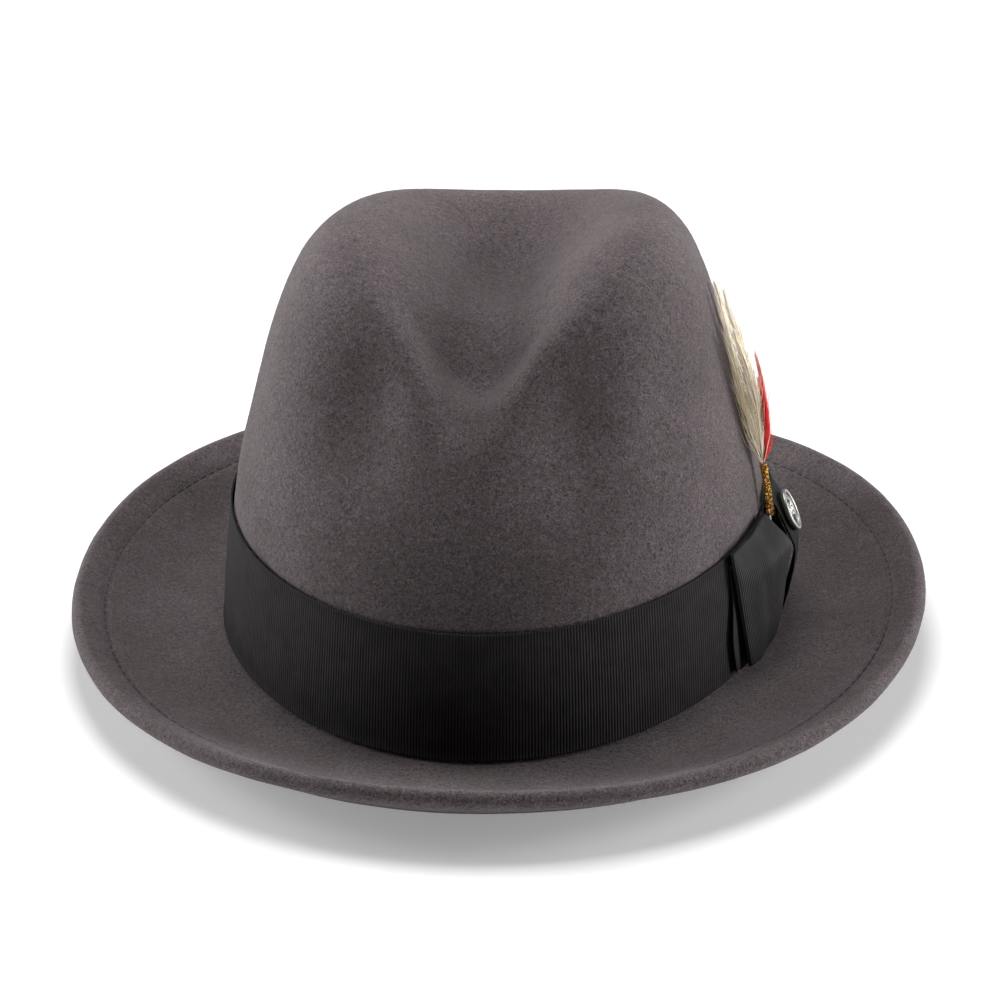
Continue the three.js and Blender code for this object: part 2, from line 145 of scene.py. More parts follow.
def shape_crown(r, t, h):
    """Where a point of the blank crown ends up, in millimetres."""
    r, t, h = np.broadcast_arrays(*(np.asarray(v, float) for v in (r, t, h)))
    x = r / BLANK_RADIUS * HALF_WIDTH * np.cos(t)
    y = r / BLANK_RADIUS * HALF_LENGTH * np.sin(t)
    z = h + SIDE_RISE * np.cos(t) ** 2 * (1 - smooth(h, 40, 110))
    z = z - FRONT_DROP * smooth(-y, 15, 88) * smooth(h, 60, 125)
    c = CREASE
    along = smooth(y, c["front"], c["full"]) * (1 - smooth(y, c["fade"], c["back"]))
    width = c["narrow"] + (c["wide"] - c["narrow"]) * smooth(y, c["front"], -15)
    z = z - c["depth"] * along * np.exp(-1.9 * (x / width) ** 2) * smooth(h, 70, 118)
    z = z + (TOP_RAISE + TOP_TILT * x) * smooth(h, 100, 132) * smooth(y, -60, -10)
    px, py, pz = PINCH["at"]
    sx, sy, sz = PINCH["spread"]
    for side in (1, -1):
        below = np.where(z < pz, PINCH["tail"], sz)
        far = ((x - side * px) / sx) ** 2 + ((y - py) / sy) ** 2 + ((z - pz) / below) ** 2
        push = Vector((side, -1, 0.3)).normalized()
        k = PINCH["depth"] * np.exp(-far)
        x, y, z = x - k * push.x, y - k * push.y, z - k * push.z
    press = FRONT_PRESS * smooth(-y, 20, 62) * np.exp(-((x / 36) ** 4) - ((z - 84) / 30) ** 2)
    return np.stack([x - LEAN * smooth(h, 20, 130), y + press, z - 0.25 * press + LIFT], -1)


def on_crown(q, t, n):
    """A point q up the crown at angle t, n outside the felt."""
    r, h = blank(q, n)
    return shape_crown(r, t, h)


def on_side(s, q, n):
    """A point in the bow's frame: s towards the back, q up the crown, n out from the felt."""
    return on_crown(q, np.asarray(s, float) / 100, n)


# %% Brim: sides up, edge curled, lowest part flat on the table
EDGE = dict(height=17.2, tilt=1.8, sides=0.7, corners=2.6, power=2.2, sag=1.8)


def shape_brim(r, t, h):
    """Where a point of the blank brim ends up; h is its height above the blank's flat top."""
    r, t, h = np.broadcast_arrays(*(np.asarray(v, float) for v in (r, t, h)))
    e = EDGE
    off = np.maximum(r - BLANK_RADIUS, 0)
    u = off / BRIM_WIDTH
    rise = SIDE_RISE * np.cos(t) ** 2
    edge = (e["height"] + e["tilt"] * np.sin(t) + e["sides"] * np.cos(2 * t)
            + e["corners"] * np.sin(3 * t) - rise)
    wave = math.pi * 1.25
    sag = np.where(u < 0.8, e["sag"] * np.sin(wave * u), 0)
    sag_slope = np.where(u < 0.8, e["sag"] * wave * np.cos(wave * u), 0)
    slope = (edge * e["power"] * u ** (e["power"] - 1) - sag_slope) / BRIM_WIDTH
    tilt = smooth(u, 0, 0.12) * slope
    length = np.hypot(1, tilt)
    out = off - h * tilt / length
    z = h / length + edge * u ** e["power"] - sag + rise + LIFT
    return np.stack([(HALF_WIDTH + out) * np.cos(t), (HALF_LENGTH + out) * np.sin(t), np.maximum(z, 0)], -1)


print("front of the edge at z", round(float(shape_brim(139, -math.pi / 2, 0)[2]), 1), "mm")

# %% [markdown]
# ## Helpers for turning and repeating
# A ring is a profile that bmesh spins right round, after which each point is sent through the
# shaping function. Small repeated things, such as stitches and barbs, are copies of one little
# mesh, each placed by a matrix or a bend.

# %% Mesh helpers
def finish(name, bm, body, material, smooth_faces=True):
    """Makes an object from a bmesh and says which body it rides on."""
    mesh = bpy.data.meshes.new(name)
    bm.to_mesh(mesh)
    bm.free()
    mesh.polygons.foreach_set("use_smooth", [smooth_faces] * len(mesh.polygons))
    mesh.materials.append(material)
    obj = bpy.data.objects.new(name, mesh)
    bpy.context.scene.collection.objects.link(obj)
    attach(obj, body)
    print(f"{name}: {len(mesh.vertices)} points, {len(mesh.polygons)} faces")
    return obj


def reshape(bm, send):
    """Sends every point of a bmesh through a function of three number arrays, and back in metres."""
    co = np.array([v.co for v in bm.verts])
    for v, p in zip(bm.verts, send(co[:, 0], co[:, 1], co[:, 2]) * MM):
        v.co = p


def face_out(bm):
    """Merges doubles and points the faces outwards."""
    bmesh.ops.remove_doubles(bm, verts=bm.verts[:], dist=1e-4)
    bmesh.ops.recalc_face_normals(bm, faces=bm.faces[:])


def turned(profile, sectors, send, closed=True):
    """Spins a profile of (a, b) pairs round Z and sends (a, angle, b) through a shaping function.
    A UV map keeps the distance round the hat and the height, both in millimetres."""
    bm = bmesh.new()
    chain = [bm.verts.new((a, 0, b)) for a, b in profile]
    pairs = list(zip(chain, chain[1:])) + ([(chain[-1], chain[0])] if closed else [])
    edges = [bm.edges.new(pair) for pair in pairs]
    bmesh.ops.spin(bm, geom=chain + edges, cent=(0, 0, 0), axis=(0, 0, 1), angle=2 * math.pi,
                   steps=sectors, use_merge=True)
    face_out(bm)
    uv = bm.loops.layers.uv.new("around")
    for face in bm.faces:
        middle = face.calc_center_median()
        centre = math.atan2(middle.y, middle.x)
        for loop in face.loops:
            x, y, b = loop.vert.co
            turn = math.atan2(y, x) - centre
            turn -= 2 * math.pi * round(turn / (2 * math.pi))
            loop[uv].uv = ((centre + turn) * BLANK_RADIUS, b)
    reshape(bm, lambda x, y, b: send(np.hypot(x, y), np.arctan2(y, x), b))
    bmesh.ops.recalc_face_normals(bm, faces=bm.faces[:])
    return bm


SHIFT = 50


def crown_ring(profile, sectors):
    """A ring given by distance n outside the crown felt and height q up the crown."""
    shifted = [(n + SHIFT, q) for n, q in profile]
    return turned(shifted, sectors, lambda a, t, q: on_crown(q, t, a - SHIFT))


def round_profile(a, b, radius, sides):
    return [(a + radius * math.cos(k), b + radius * math.sin(k))
            for k in np.linspace(0, 2 * math.pi, sides, endpoint=False)]


def repeated(template, places, tones=None):
    """One bmesh with a copy of the template for every function in places. Given tones, each copy
    keeps its own number in a point attribute, which a material can read."""
    faces = [[v.index for v in f.verts] for f in template.faces]
    points = np.array([v.co for v in template.verts])
    bm = bmesh.new()
    tone = bm.verts.layers.float.new("tone") if tones is not None else None
    for index, place in enumerate(places):
        verts = [bm.verts.new(p) for p in place(points) * MM]
        for f in faces:
            bm.faces.new([verts[i] for i in f])
        if tone:
            for v in verts:
                v[tone] = tones[index]
    return bm


def spread(a, b, count):
    return np.linspace(a, b, count + 1)


print("helpers ready")

# %% [markdown]
# ## Materials
# Felt is a mat of short wool fibres, so it has no gloss, a soft sheen at grazing angles and a
# grain about a millimetre across. Two noises make the grain and the cloudy colour of dyed wool.
# All patterns are in object coordinates or in the piece's own UV map, so they stay on the piece.

# %% Node helpers
def new_material(name, **settings):
    """A material with a Principled shader; settings are its plain numbers and colours."""
    material = bpy.data.materials.new(name)
    material.use_nodes = True
    shader = material.node_tree.nodes["Principled BSDF"]
    for key, value in settings.items():
        shader.inputs[key.replace("_", " ")].default_value = value
    return material, material.node_tree, shader


def node(tree, kind, **values):
    made = tree.nodes.new("ShaderNode" + kind)
    for key, value in values.items():
        if key in made.inputs:
            made.inputs[key].default_value = value
        else:
            setattr(made, key, value)
    return made


def grain(tree, coords, scale, detail=3.0, rough=0.6, stretch=(1, 1, 1), distort=0.0):
    """A noise in object coordinates, stretched along the axes."""
    mapping = node(tree, "Mapping")
    mapping.inputs["Scale"].default_value = stretch
    made = node(tree, "TexNoise")
    made.inputs["Scale"].default_value = scale
    made.inputs["Detail"].default_value = detail
    made.inputs["Roughness"].default_value = rough
    made.inputs["Distortion"].default_value = distort
    tree.links.new(coords, mapping.inputs["Vector"])
    tree.links.new(mapping.outputs["Vector"], made.inputs["Vector"])
    return made.outputs["Fac"]


def ramp(tree, factor, stops):
    made = node(tree, "ValToRGB")
    elements = made.color_ramp.elements
    while len(elements) < len(stops):
        elements.new(0.5)
    for element, (at, colour) in zip(elements, stops):
        element.position = at
        element.color = (*colour, 1)
    tree.links.new(factor, made.inputs["Fac"])
    return made.outputs["Color"]


def bump(tree, height, strength, depth, before=None):
    made = node(tree, "Bump")
    made.inputs["Strength"].default_value = strength
    made.inputs["Distance"].default_value = depth
    tree.links.new(height, made.inputs["Height"])
    if before:
        tree.links.new(before, made.inputs["Normal"])
    return made.outputs["Normal"]


def blend_colours(tree, kind, factor, a, b):
    made = node(tree, "Mix", data_type="RGBA", blend_type=kind)
    made.inputs[0].default_value = factor
    tree.links.new(a, made.inputs[6])
    tree.links.new(b, made.inputs[7])
    return made.outputs[2]


def object_coords(tree):
    return node(tree, "TexCoord").outputs["Object"]


def uv_coords(tree):
    return node(tree, "UVMap", uv_map="around").outputs["UV"]


print("node helpers ready")

# %% Felt
def make_felt():
    material, tree, shader = new_material(
        "grey_wool_felt", Roughness=0.95, Sheen_Weight=0.18, Sheen_Roughness=0.5)
    shader.inputs["Sheen Tint"].default_value = (0.95, 0.88, 0.9, 1)
    shader.inputs["Specular IOR Level"].default_value = 0.12
    where = object_coords(tree)
    cloud = grain(tree, where, 45, 4, 0.6)
    fibre = grain(tree, where, 1100, 3, 0.8, distort=1.5)
    base = ramp(tree, cloud, [(0.36, (0.077, 0.063, 0.065)), (0.64, (0.096, 0.079, 0.082))])
    fleck = ramp(tree, fibre, [(0.38, (0.45, 0.44, 0.45)), (0.5, (1, 1, 1)), (0.62, (1.8, 1.75, 1.78))])
    tree.links.new(blend_colours(tree, "MULTIPLY", 1, base, fleck), shader.inputs["Base Color"])
    coarse = bump(tree, grain(tree, where, 300, 3, 0.7, distort=0.8), 0.35, 0.0008)
    tree.links.new(bump(tree, fibre, 0.7, 0.0006, coarse), shader.inputs["Normal"])
    return material


felt_material = make_felt()


# %% [markdown]
# Grosgrain is woven with thick weft cords, which show as fine ribs across the ribbon every
# millimetre. On the hat ribbon they stand upright. The ribs are a wave along the ribbon in its UV
# map, both in the bump and in the colour, because the valleys between them hold shade.

# %% Grosgrain
def make_grosgrain(name, tone, gloss, period=1.0, valley=0.25, relief=0.8):
    material, tree, shader = new_material(name, Roughness=gloss)
    shader.inputs["Specular IOR Level"].default_value = 0.12
    rib = node(tree, "TexWave", wave_type="BANDS", bands_direction="X", wave_profile="SIN")
    rib.inputs["Scale"].default_value = 2 * math.pi / (20 * period)
    rib.inputs["Distortion"].default_value = 0.15
    rib.inputs["Detail"].default_value = 1
    tree.links.new(uv_coords(tree), rib.inputs["Vector"])
    base = ramp(tree, rib.outputs["Fac"], [(0.0, [valley * c for c in tone]), (0.65, tone)])
    where = object_coords(tree)
    cloud = ramp(tree, grain(tree, where, 160, 3), [(0.3, (0.8, 0.8, 0.8)), (0.7, (1.2, 1.2, 1.2))])
    tree.links.new(blend_colours(tree, "MULTIPLY", 1, base, cloud), shader.inputs["Base Color"])
    thread = bump(tree, grain(tree, where, 1500, 2), 0.15, 0.0002)
    tree.links.new(bump(tree, rib.outputs["Fac"], relief, 0.0002, thread), shader.inputs["Normal"])
    return material


ribbon_material = make_grosgrain("black_grosgrain", (0.030, 0.027, 0.029), 0.85)
bow_material = make_grosgrain("bow_grosgrain", (0.027, 0.025, 0.027), 0.6, 0.8)
# The knot is painted a little darker than the hat ribbon, and its rib valleys are painted almost black:
# painted shade.
knot_material = make_grosgrain("knot_grosgrain_painted_shade", (0.026, 0.024, 0.026), 0.75, 1.15, 0.04, 1.0)


# %% Thread, leather, satin, metal, label
def make_plain(name, low, high, scale, roughness, depth=0.0002, metallic=0.0, stretch=(1, 1, 1), **more):
    """A finish with one grain that varies its colour between low and high and gives it a bump."""
    material, tree, shader = new_material(name, Roughness=roughness, Metallic=metallic, **more)
    fine = grain(tree, object_coords(tree), scale, 4, 0.6, stretch=stretch)
    tree.links.new(ramp(tree, fine, [(0.3, low), (0.7, high)]), shader.inputs["Base Color"])
    tree.links.new(bump(tree, fine, 0.5, depth), shader.inputs["Normal"])
    return material


thread_material = make_plain("grey_thread", (0.03, 0.026, 0.027), (0.07, 0.06, 0.062), 2500, 0.8)
ribbon_thread = make_plain("black_thread", (0.008, 0.008, 0.009), (0.02, 0.019, 0.021), 2500, 0.7)
leather_material = make_plain("brown_leather", (0.055, 0.028, 0.016), (0.12, 0.065, 0.038), 420, 0.45, 0.0003)
cut_material = make_plain("cut_leather", (0.10, 0.06, 0.035), (0.17, 0.11, 0.07), 900, 0.8)
satin_material = make_plain("lining_satin", (0.016, 0.015, 0.018), (0.035, 0.033, 0.038), 700, 0.32,
                            0.00008, stretch=(1, 1, 0.08), Sheen_Weight=0.3)
silver_material = make_plain("badge_silver", (0.30, 0.30, 0.285), (0.42, 0.42, 0.40), 900, 0.45, 0.00003, 1.0)
dark_metal = make_plain("badge_ground", (0.012, 0.012, 0.013), (0.035, 0.035, 0.036), 700, 0.5, 0.00004, 0.2)
brass_material = make_plain("clutch_brass", (0.45, 0.31, 0.12), (0.62, 0.45, 0.2), 800, 0.35, 0.00004, 1.0)
tinsel_material = make_plain("gold_tinsel", (0.42, 0.22, 0.02), (0.95, 0.66, 0.16), 1600, 0.25, 0.0002, 0.9)
label_material = make_plain("woven_label", (0.62, 0.6, 0.54), (0.8, 0.78, 0.72), 2600, 0.85)
print("materials:", len(bpy.data.materials))

# %% [markdown]
# ## The felt body
# Crown and brim are one felt. At the edge the brim is folded under and sewn, which makes a round
# welt; the cut end of the fold shows underneath as a step. One closed profile goes over the top,
# round the welt, back under the brim and up the inside of the crown, and is spun in one piece.

# %% Felt body
WALL, FELT, WELT_WIDTH, WELT_RADIUS, STITCH_INSET = 2.0, 2.3, 9.0, 2.6, 6.5
OUTER_EDGE = BLANK_RADIUS + BRIM_WIDTH - WELT_RADIUS
WELT_INNER = OUTER_EDGE - WELT_WIDTH
STITCH_RADIUS = OUTER_EDGE - STITCH_INSET
UNDER = -2 * WELT_RADIUS
TOP_HOLE = 2.2
SECTORS = 216


def top(n):
    return [(0, CROWN[-1, 1] + n)]


outer_rows = [tuple(map(float, blank(q, 0))) for q in spread(CROWN_LENGTH - TOP_HOLE, 0, 78)]
flat_rows = [(r, 0) for r in spread(BLANK_RADIUS + 2, STITCH_RADIUS - 1.6, 18)]
groove = [(STITCH_RADIUS + a, -d)
          for a, d in ((-1, 0.12), (-0.6, 0.55), (0, 0.85), (0.6, 0.55), (1, 0.12), (2, -0.12))]
welt = [(OUTER_EDGE + WELT_RADIUS * math.cos(a), -WELT_RADIUS + WELT_RADIUS * math.sin(a))
        for a in np.radians(spread(78, -90, 13))]
under_groove = [(STITCH_RADIUS + a, UNDER + d)
                for a, d in ((1, 0.1), (0.5, 0.45), (0, 0.6), (-0.5, 0.45), (-1, 0.1))]
cut_end = [(WELT_INNER + 0.5, UNDER), (WELT_INNER + 0.12, UNDER + 0.25), (WELT_INNER, UNDER + 0.8),
           (WELT_INNER + 0.1, -FELT - 0.35), (WELT_INNER + 0.25, -FELT - 0.08), (WELT_INNER - 0.4, -FELT)]
below = [(r, -FELT) for r in spread(WELT_INNER - 2, BLANK_RADIUS - WALL, 20)]
inner_rows = [tuple(map(float, blank(q, -WALL))) for q in spread(0.8, CROWN_LENGTH - TOP_HOLE, 60)]
felt_profile = [*top(0), *outer_rows, *flat_rows, *groove, *welt, *under_groove, *cut_end, *below,
                *inner_rows, *top(-WALL)]


def shape_felt(r, t, h):
    on_brim = (r > BLANK_RADIUS + 1e-6) & (h < 1)
    return np.where(on_brim[:, None], shape_brim(r, t, h), shape_crown(r, t, h))


felt_bm = turned(felt_profile, SECTORS, shape_felt, closed=False)
felt = finish("felt_hat_body", felt_bm, HAT, felt_material)
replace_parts(felt, "felt_body")

# %% [markdown]
# Steamed felt is never perfectly even. Each point moves a little along its normal with a slow
# noise, which breaks up highlights the way a hand-blocked crown does.

# %% Uneven felt
UNEVEN, FOOT_HEIGHT = 0.22 * MM, 0.6 * MM
coords = np.array([v.co for v in felt.data.vertices])
normals = np.array([v.normal for v in felt.data.vertices])
waves = np.array([noise.noise(Vector(c) * 42) + 0.5 * noise.noise(Vector(c) * 110) for c in coords])
waves[coords[:, 2] < FOOT_HEIGHT] = 0
coords += normals * (waves * UNEVEN)[:, None]
felt.data.vertices.foreach_set("co", coords.ravel())
print(f"felt moved by up to {abs(waves).max() * UNEVEN / MM:.2f} mm")

# %% [markdown]
# Felt has a nap: short loose fibres that stand off the surface and soften its outline. Each is a
# thin cone about a millimetre long, planted at a random spot of the felt and brushed backwards.
# Merging doubles can leave the faces in another order on every run, so they are sorted by their
# point numbers first, each from its lowest point. Then the same seed plants the same nap.

# %% Felt nap
FIBRES, FIBRE_RADIUS, FIBRE_LENGTHS, CLEAR_OF_TABLE = 26000, 0.03, (0.4, 1.3), 1.5
fibre_rng = np.random.default_rng(5)
spike = bmesh.new()
bmesh.ops.create_cone(spike, segments=3, radius1=1, radius2=0, depth=1, cap_ends=True,
                      matrix=Matrix.Translation((0, 0, 0.5)))
spike.verts.index_update()


def from_lowest(points):
    """The points of a face in the same round order, from the lowest number; a triangle as four."""
    start = points.index(min(points))
    turned_round = points[start:] + points[:start]
    return (turned_round + turned_round[-1:])[:4]


corners = coords[np.array(sorted(from_lowest(list(p.vertices)) for p in felt.data.polygons))]
sides = np.cross(corners[:, 2] - corners[:, 0], corners[:, 3] - corners[:, 1])
areas = np.linalg.norm(sides, axis=1)
facing = sides / np.maximum(areas, 1e-12)[:, None]
middle = corners.mean(1)
radius = np.hypot(middle[:, 0] / HALF_WIDTH, middle[:, 1] / HALF_LENGTH) / MM
seen = ((radius > 1.02) | ((facing * middle).sum(1) > 0)) & (middle[:, 2] > CLEAR_OF_TABLE * MM)
chosen = fibre_rng.choice(len(areas), FIBRES, p=areas * seen / (areas * seen).sum())


def fibre(index):
    out = facing[chosen[index]]
    u, v = fibre_rng.random(2)
    shares = np.array([(1 - u) * (1 - v), u * (1 - v), u * v, (1 - u) * v])
    root = (corners[chosen[index]] * shares[:, None]).sum(0) / MM
    length = fibre_rng.uniform(*FIBRE_LENGTHS)
    lean = fibre_rng.normal(0, 0.8, 3) + (0, 0.5, -0.2)
    way = out * 0.75 + lean
    way = way / np.linalg.norm(way)
    if way @ out < 0.12:
        way = way + out * (0.25 - way @ out)
    across = np.cross(way, (0.3, 0.5, 0.8))
    across /= np.linalg.norm(across)
    other = np.cross(way, across)

    def place(p):
        return root + FIBRE_RADIUS * (p[:, :1] * across + p[:, 1:2] * other) + p[:, 2:] * way * length

    return place


finish("felt_nap", repeated(spike, map(fibre, range(FIBRES))), HAT, felt_material)

# %% [markdown]
# ## Edge stitching
# One row of machine stitches holds the folded edge. Each stitch is a short capsule that lies in
# the groove and dips at both ends, where the thread goes down through the felt.

# %% Welt stitches
STITCHES, STITCH_LONG, THREAD_RADIUS, STITCH_DIP = 190, 3.3, 0.24, 0.42
BRIM_MEAN_RADIUS = 128
capsule = bmesh.new()
bmesh.ops.create_uvsphere(capsule, u_segments=6, v_segments=6, radius=1)
capsule.verts.index_update()


def welt_stitch(index):
    t0 = 2 * math.pi * index / STITCHES

    def place(p):
        along = p[:, 2] * STITCH_LONG / 2
        t = t0 + along / BRIM_MEAN_RADIUS
        r = STITCH_RADIUS + p[:, 0] * THREAD_RADIUS
        dip = STITCH_DIP * (along / (STITCH_LONG / 2)) ** 2
        return shape_brim(r, t, -0.5 + p[:, 1] * THREAD_RADIUS - dip)

    return place


stitches_bm = repeated(capsule, map(welt_stitch, range(STITCHES)))
stitches = finish("welt_stitches", stitches_bm, HAT, thread_material)
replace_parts(stitches, "welt_stitch")

# %% [markdown]
# ## Hat ribbon
# A 38 mm grosgrain ribbon goes round the foot of the crown. It is pulled tight, so it only stands
# off the felt a little along its top edge. Its two woven edges are a touch thicker.

# %% Hat ribbon
RIBBON_WIDTH, RIBBON_GAP, RIBBON_THICK = 38, 0.3, 0.7
RIBBON_OUT = RIBBON_GAP + RIBBON_THICK
face_rows = spread(1.4, RIBBON_WIDTH - 0.2, 16)
low, high = 0.6, 0.6 + RIBBON_WIDTH
low_edge = [(RIBBON_GAP + 0.1, low), (RIBBON_OUT, low),
            (RIBBON_OUT + 0.12, low + 0.3), (RIBBON_OUT, low + 0.7)]
high_edge = [(RIBBON_OUT, high - 0.7), (RIBBON_OUT + 0.12, high - 0.3),
             (RIBBON_OUT, high), (RIBBON_GAP + 0.1, high)]
ribbon_profile = [*low_edge, *[(RIBBON_OUT - 0.1, q) for q in face_rows],
                  *high_edge, *[(RIBBON_GAP, q) for q in face_rows[::-1]]]


def on_ribbon(a, t, q):
    edge = smooth(q, 24, 39)
    stand = 0.16 * edge * (1 + np.sin(5 * t + 0.6) * np.sin(3 * t + 1.9))
    ripple = 0.1 * np.sin(11 * t + 0.12 * q)
    return on_crown(q, t, a - SHIFT + stand + ripple + 0.1)


ribbon_bm = turned([(n + SHIFT, q) for n, q in ribbon_profile], 288, on_ribbon)
ribbon = finish("grosgrain_hat_ribbon", ribbon_bm, HAT, ribbon_material)
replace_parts(ribbon, "hat_ribbon")

# %% [markdown]
# ## Bow
# Each leaf is one strip of ribbon folded into a loop. It is gathered under the knot and opens
# towards its fold. A flat strip is laid out with a grid, bent into the loop by giving each of its
# columns a place in the bow's frame, and thickened with Solidify.

# %% Strip helper
def strip(name, path, place, columns, rows, thickness, material=bow_material, upright_ribs=True):
    """A ribbon strip. The path is a list of points; place takes a share u along the path, a share
    v across the ribbon and the point of the path, and returns s, q and n in the bow's frame."""
    line = fair_curve(np.array(path, float), 24)
    run = np.r_[0, np.cumsum(np.linalg.norm(np.diff(line, axis=0), axis=1))]
    bm = bmesh.new()
    bmesh.ops.create_grid(bm, x_segments=columns, y_segments=rows, size=0.5)
    uv = bm.loops.layers.uv.new("around")
    for face in bm.faces:
        for loop in face.loops:
            u, v = loop.vert.co.x + 0.5, loop.vert.co.y + 0.5
            along, across = u * run[-1], v * RIBBON_WIDTH
            loop[uv].uv = (along, across) if upright_ribs else (across, along)

    def send(x, y, _):
        u, v = x + 0.5, y + 0.5
        a, b = (np.interp(u * run[-1], run, line[:, i]) for i in (0, 1))
        return on_side(*place(u, v, a, b))

    reshape(bm, send)
    obj = finish(name, bm, HAT, material)
    solid = obj.modifiers.new("thickness", "SOLIDIFY")
    solid.thickness = thickness * MM
    solid.offset = 0
    solid.use_rim = True
    return obj


# %% Front and rear leaf
BOW_CENTRE = -2
REACH = [0, 8, 14, 24, 34, 42, 48]
FACE_LOW = [4.6, 4.6, 4.6, 4.6, 4.8, 5.2, 5.4]
FACE_WIDE = [6.3, 7.6, 10.4, 10.2, 7.8, 5.6, 4.0]
FACE_TOP = [5.6, 4.4, 3.4, 3.1, 3.0, 3.0, 3.0]


def leaf_place(sign, length, top_q, puff):
    """The back layer lies on the hat. The front layer leans out as it goes up, turns over at its
    widest line and comes back to the hat, which makes a three-cornered face at the top."""
    def place(u, v, s, n):
        reach = s * 48 / length
        outer = smooth(u, 0.485, 0.53)
        low_n, wide_n, top_n = (np.interp(reach, REACH, f) for f in (FACE_LOW, FACE_WIDE, FACE_TOP))
        lean = np.clip(v / 0.74, 0, 1) ** 0.85
        over = np.clip((v - 0.70) / 0.30, 0, 1)
        face = low_n + (wide_n - low_n) * lean * puff
        face = face + (top_n - wide_n) * over * over * (2.2 - 1.2 * over) * puff
        spokes = np.sin(9 * v + 0.6) * np.exp(-((reach - 17) / 12) ** 2)
        dent = np.exp(-(((reach - 33) - 9 * (v - 0.5)) / 3.2) ** 2 - ((v - 0.55) / 0.3) ** 2)
        face = face + 0.28 * spokes - 0.7 * dent * puff + 0.25 * np.sin(0.35 * reach + 3 * v)
        back = n + 1.5 * (1 - v) ** 1.5 * smooth(reach, 30, 46)
        opening = smooth(reach, 5, 18)
        low_q = 9 - 7.6 * opening + 0.5 * smooth(reach, 40, 48)
        high_q = 29 + (top_q - 29) * smooth(reach, 4, 19) - 0.8 * smooth(reach, 20, 46)
        slant = 5 * (1 - v) ** 1.2 * smooth(reach, 24, 48)
        return sign * (s - slant) + BOW_CENTRE, low_q + (high_q - low_q) * v, back + (face - back) * outer
    return place


def leaf_path(length):
    """Out along the hat, round the fold and back, as a share of the leaf's length."""
    return [(share * length, n) for share, n in (
        (0.06, 3.6), (0.2, 3.1), (0.4, 2.5), (0.6, 2.35), (0.8, 2.3), (0.96, 2.3), (1.0, 2.8), (0.97, 3.3),
        (0.8, 3.3), (0.6, 3.3), (0.4, 3.3), (0.2, 3.3), (0.06, 3.3))]


front_leaf = strip("bow_leaf_front", leaf_path(47), leaf_place(-1, 47, 40, 1.0), 110, 44, 0.5)
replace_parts(front_leaf, "bow_front_leaf")
rear_leaf = strip("bow_leaf_rear", leaf_path(41), leaf_place(1, 41, 37.5, 0.8), 110, 44, 0.5)
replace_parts(rear_leaf, "bow_rear_leaf")

# %% [markdown]
# The knot is a narrower strip wrapped over the gathered middle. Above the bow it slopes back to
# the crown, and that slope carries the badge. The flat base strip lies behind everything, and a
# short cut tail shows under the front leaf.

# %% Knot, base strip and tail
def knot_place(u, v, q, n):
    front = smooth(n, 4, 7)
    across = (v - 0.5) * (15 - 2.5 * front * np.exp(-((q - 14) / 9) ** 2))
    crown_side = 0.5 * np.sin(math.pi * v) * front
    return across + BOW_CENTRE, q + 0.6 * (v - 0.5) * front, n + crown_side - 0.35


knot_path = [
    (22, 2.75), (8, 2.75), (2.6, 2.9), (1.9, 3.6), (2.6, 4.7), (7, 6.4), (13, 8.3), (19, 9.9), (24.2, 10.6),
    (27.5, 9.7), (31, 8.4), (35, 6.9), (38.6, 5.2), (41.2, 3.7), (41.6, 3.1), (40.8, 2.75), (34, 2.75),
    (22.2, 2.75),
]
knot = strip("bow_knot_wrap", knot_path, knot_place, 120, 24, 0.5, knot_material, upright_ribs=False)
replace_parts(knot, "bow_knot")

base_path = [(-46, 1.65), (-20, 1.6), (0, 1.6), (20, 1.6), (44, 1.65)]
base = strip("bow_base_strip", base_path, lambda u, v, s, n: (s - 1, 2 + 30 * v, n), 90, 14, 0.45)
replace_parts(base, "bow_base")


def tail_place(u, v, s, n):
    """The front end of the tail is cut on a slant and lifts a little off the hat."""
    cut = -48.5 - 2.6 * np.exp(-((v - 0.3) / 0.3) ** 2)
    free = smooth(-s, 44, 51)
    lift = free * (0.3 * np.sin(5 * v) + 0.8 * (1 - v))
    return s + (cut + 51.5) * free, 0.8 + 33 * v + 1.5 * free, n + lift


tail = strip("bow_cut_tail", [(-51.5, 1.75), (-47, 1.7), (-42, 1.95), (-38, 2.05)], tail_place, 26, 28, 0.4)
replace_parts(tail, "bow_tail")

# %% [markdown]
# ## Badge
# A pin badge is struck from sheet metal: a bright raised rim, a dark sunken ring and a small dark
# raised pattern. The pattern here is a plain ring of short rays and a boss. The badge keeps the
# place and tilt of the design, which are read from its own node.

# %% Badge frame
pull = next(j for j in frame["joints"] if j["name"] == "badge_pull")
turn = next(j for j in frame["joints"] if j["name"] == "clutch_turn")
badge_axis = Vector(pull["axis"]).normalized()
badge_across = Vector((0, 1, 0)) - badge_axis * badge_axis.y
badge_across.normalize()
badge_points = np.array([v.co for v in frame["nodes"]["badge_disc"].data.vertices])
reach = (badge_points - np.array(turn["pos_m"])) @ np.array(badge_axis)
DISC_TOP = float(reach.max()) / MM
badge_frame = Matrix((badge_across, badge_axis.cross(badge_across), badge_axis)).transposed().to_4x4()
badge_frame.translation = Vector(turn["pos_m"]) + badge_axis * (DISC_TOP - 1.9) * MM
print(f"badge face {DISC_TOP:.2f} mm above the clutch's middle")

# %% Badge disc, rim and rays
BADGE_RADIUS, POST_RADIUS, RIM_ROUND, GROUND, RAYS = 6.7, 0.5, 0.62, 0.95, 12


def lathe(profile, sectors):
    bm = bmesh.new()
    chain = [bm.verts.new((r, 0, h)) for r, h in profile]
    edges = [bm.edges.new(pair) for pair in zip(chain, chain[1:])]
    bmesh.ops.spin(bm, geom=chain + edges, cent=(0, 0, 0), axis=(0, 0, 1), angle=2 * math.pi,
                   steps=sectors, use_merge=True)
    face_out(bm)
    return bm


